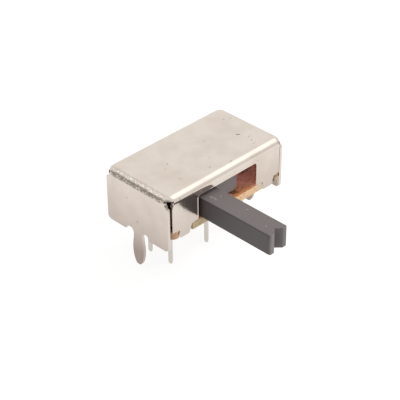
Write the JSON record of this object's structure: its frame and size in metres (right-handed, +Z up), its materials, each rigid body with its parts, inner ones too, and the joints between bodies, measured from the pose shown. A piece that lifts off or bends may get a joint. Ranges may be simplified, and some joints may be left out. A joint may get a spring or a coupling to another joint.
{
  "type": "slide switch",
  "caption": "Side-actuated two-position slide switch for a circuit board: folded metal case, laminate base, solder pins, mounting tabs and a long lever with a grooved tip.",
  "frame": {"origin": "centre of the terminal pattern on the board seat plane, which is the lower edge of the end walls", "axes": "+X along the slide direction to the slider's far position, -Y out along the lever, +Z up through the roof"},
  "size_m": [0.0126, 0.0143, 0.0081],
  "materials": {
    "case_steel": "nickel-plated sheet, satin",
    "laminate": "sheared phenolic laminate",
    "terminal_silver": "silver-plated, satin",
    "slider_plastic": "fine matte moulding",
    "contact_bronze": "rolled spring strip",
    "spring_steel": "drawn wire",
    "ball_steel": "polished"
  },
  "bodies": {
    "housing": {"case": "case_steel", "base_board": "laminate", "terminal_front_left": "terminal_silver", "terminal_front_middle": "terminal_silver", "terminal_front_right": "terminal_silver", "terminal_back_left": "terminal_silver", "terminal_back_middle": "terminal_silver", "terminal_back_right": "terminal_silver"},
    "slider_group": {"slider": "slider_plastic", "contact_clip_front": "contact_bronze", "contact_clip_back": "contact_bronze", "detent_spring": "spring_steel", "detent_ball": "ball_steel"}
  },
  "joints": [
    {"name": "slider_slide", "type": "slide", "parent": "housing", "child": "slider_group", "axis": [1, 0, 0], "range_m": [0, 0.004]}
  ]
}
